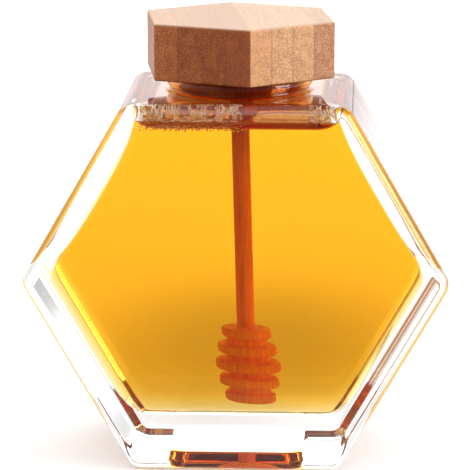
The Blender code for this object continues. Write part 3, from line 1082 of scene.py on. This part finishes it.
def lid_grid(looks):
    """The lid: rounded hexagons from bottom to top, drawn in along a quarter round at both edges."""
    angle = looks.turn - math.pi / 2 + math.pi / 3 * np.arange(6)
    turn = np.linspace(0, math.pi / 2, 5)
    edge = looks.edge
    inset, rise = edge * (1 - np.sin(turn)), edge * (1 - np.cos(turn))
    inset = np.concatenate([[edge + SUPPORT], inset, [0, 0], inset[::-1], [edge + SUPPORT]])
    z = np.concatenate([
        [LID_LOW.z], LID_LOW.z + rise, [LID_LOW.z + edge + SUPPORT, LID_HIGH.z - edge - SUPPORT],
        (LID_HIGH.z - rise)[::-1], [LID_HIGH.z]])
    reach = LID_RADIUS - inset / math.cos(math.pi / 6)
    corners = reach[:, None, None] * np.stack([np.cos(angle), np.sin(angle)], axis=-1)
    return at_heights(rounded_outlines(corners, np.full(len(z), edge), 4), z)


class HONEYPOT_OT_lid(bpy.types.Operator):
    """Make the hexagonal bamboo lid with softly eased edges"""
    bl_idname = "honeypot.lid"
    bl_label = "Lid"

    def execute(self, context):
        looks = context.scene.pot_lid
        lid = new_object("bamboo_lid", grid_mesh("bamboo_lid", lid_grid(looks)), bamboo_material(looks))
        finish_piece(lid, "bamboo", "lid")
        return {"FINISHED"}


CAMERA_AT = (0.03653, -0.82002, 0.24402)
CAMERA_YAW = math.radians(-2.647)
CAMERA_PITCH = math.radians(-12.45)
FRAME_PIXELS = 470
FOCAL_PIXELS = 2851.5
SENSOR = 36.0
FLOOR_REACH = 3.0
FLOOR_BELOW = 0.0002


def softbox(name, at, target, width, height, watts):
    """A rectangular light of a width and height that looks from one point at another."""
    light = bpy.data.lights.new(name, "AREA")
    light.shape = "RECTANGLE"
    light.size = width
    light.size_y = height
    light.energy = watts
    obj = bpy.data.objects.new(name, light)
    bpy.context.scene.collection.objects.link(obj)
    obj.location = at
    obj.rotation_euler = (Vector(target) - Vector(at)).to_track_quat("-Z", "Y").to_euler()


def floor_material(glow):
    """A pale floor that glows a little, so that shadows stay pale, and is grey on the camera's side.

    The flat glass would mirror that side; the grey there is painted shade. Behind the pot the floor has a
    painted soft shadow, a bell curve of the distance from the shadow's middle.
    """
    material, tree, shader = blank_material("pale floor")
    where = coordinates(tree)
    split = add_node(tree, "SeparateXYZ", {"Vector": where})
    # Painted shade: the floor is grey toward the camera's side.
    shade = fade(tree, split.outputs["Y"], -0.15, -0.04, 0.13, 0.93)
    # Painted shadow: a soft grey spot behind the pot.
    painted_shadow = add_node(
        tree, "Mapping", {"Vector": where, "Location": (0, 0.13, 0), "Scale": (0.105, 0.17, 1)},
        vector_type="TEXTURE")
    distance = add_node(tree, "VectorMath", {0: painted_shadow.outputs["Vector"]}, operation="LENGTH")
    bell = fade(tree, distance.outputs["Value"], 0.0, 1.0, 0.57, 1.0, "SMOOTHERSTEP")
    both = maths(tree, "MULTIPLY", shade, bell)
    grey = add_node(tree, "CombineColor", dict.fromkeys(("Red", "Green", "Blue"), both)).outputs["Color"]
    connect(tree, shader, {
        "Base Color": grey, "Emission Color": grey, "Emission Strength": glow, "Roughness": 0.8,
        "Specular IOR Level": 0.1})
    return material


def room(looks):
    """The light of the room: a bright wall low at the back, a dimmer ceiling, least on the camera's side.

    The wall fades out with the height of the direction, and all of it with its Y, and then with its X.
    """
    world = bpy.data.worlds.new("studio room")
    world.use_nodes = True
    tree = world.node_tree
    x, y, z = add_node(tree, "SeparateXYZ", {"Vector": coordinates(tree, "Generated")}).outputs
    wall = fade(tree, z, 0.30, 0.55, looks.room_behind, looks.room_above)
    bright = fade(tree, y, -0.45, 0.45, looks.room_before, wall)
    left = fade(tree, x, -0.80, -0.35, looks.room_left, bright)
    right = fade(tree, x, 0.35, 0.80, left, looks.room_right)
    connect(tree, tree.nodes["Background"], {"Color": (1, 1, 1, 1), "Strength": right})
    return world


class HONEYPOT_OT_stage(bpy.types.Operator):
    """Make the plain floor, the soft lights, the room's light and the camera"""
    bl_idname = "honeypot.stage"
    bl_label = "Stage"

    def execute(self, context):
        scene, looks = context.scene, context.scene.pot_studio
        corners = np.array([(-1, -1, 0), (1, -1, 0), (1, 1, 0), (-1, 1, 0)]) * FLOOR_REACH
        mesh = bpy.data.meshes.new("floor")
        mesh.from_pydata(corners, [], [(0, 1, 2, 3)])
        floor = new_object("floor", mesh, floor_material(looks.floor_glow))
        floor.location.z = -FLOOR_BELOW
        softbox("key light", (0.85, -0.25, 0.36), (0, 0, 0.07), 0.45, 0.5, looks.key)
        softbox("back light", (0.0, 0.80, 0.72), (0, 0.55, 0), 1.6, 0.6, looks.back)
        softbox("fill light", (-0.1, -0.75, 0.85), (0, 0, 0.08), 1.4, 1.0, looks.fill)
        scene.world = room(looks)
        camera_data = bpy.data.cameras.new("camera")
        camera_data.sensor_width = SENSOR
        camera_data.lens = FOCAL_PIXELS / FRAME_PIXELS * SENSOR
        camera_data.clip_start, camera_data.clip_end = 0.05, 20
        camera = bpy.data.objects.new("camera", camera_data)
        scene.collection.objects.link(camera)
        camera.location = CAMERA_AT
        level = math.cos(CAMERA_PITCH)
        ahead = Vector((math.sin(CAMERA_YAW) * level, math.cos(CAMERA_YAW) * level, math.sin(CAMERA_PITCH)))
        camera.rotation_euler = ahead.to_track_quat("-Z", "Y").to_euler()
        scene.camera = camera
        scene.view_settings.view_transform = "Standard"
        scene.cycles.max_bounces = 32
        scene.cycles.transmission_bounces = 32
        scene.cycles.glossy_bounces = 16
        scene.cycles.transparent_max_bounces = 32
        return {"FINISHED"}


class HONEYPOT_PT_panel(bpy.types.Panel):
    """The buttons that make the pieces, and their settings"""
    bl_label = "Honey pot"
    bl_idname = "HONEYPOT_PT_panel"
    bl_space_type = "VIEW_3D"
    bl_region_type = "UI"
    bl_category = "Honey pot"

    def draw(self, context):
        for operator in OPERATORS:
            self.layout.operator(operator.bl_idname)
        for group in GROUPS:
            box = self.layout.box()
            settings = getattr(context.scene, group)
            for name in settings.bl_rna.properties.keys():
                if name not in ("rna_type", "name"):
                    box.prop(settings, name)


GROUPS = {
    "pot_glass": GlassSizes, "pot_honey": HoneyLooks, "pot_dipper": DipperLooks,
    "pot_lid": LidLooks, "pot_studio": StudioLooks,
}
OPERATORS = (
    HONEYPOT_OT_stage, HONEYPOT_OT_glass, HONEYPOT_OT_honey, HONEYPOT_OT_foam, HONEYPOT_OT_dipper,
    HONEYPOT_OT_stopper, HONEYPOT_OT_lid,
)


def register():
    for cls in (*GROUPS.values(), *OPERATORS, HONEYPOT_PT_panel):
        bpy.utils.register_class(cls)
    for name, group in GROUPS.items():
        setattr(bpy.types.Scene, name, PointerProperty(type=group))


def unregister():
    for name in GROUPS:
        delattr(bpy.types.Scene, name)
    for cls in reversed((*GROUPS.values(), *OPERATORS, HONEYPOT_PT_panel)):
        bpy.utils.unregister_class(cls)


def main():
    register()
    bpy.ops.honeypot.stage()
    bpy.ops.honeypot.glass()
    bpy.ops.honeypot.honey()
    bpy.ops.honeypot.foam()
    bpy.ops.honeypot.dipper()
    bpy.ops.honeypot.stopper()
    bpy.ops.honeypot.lid()


if __name__ == "__main__":
    main()
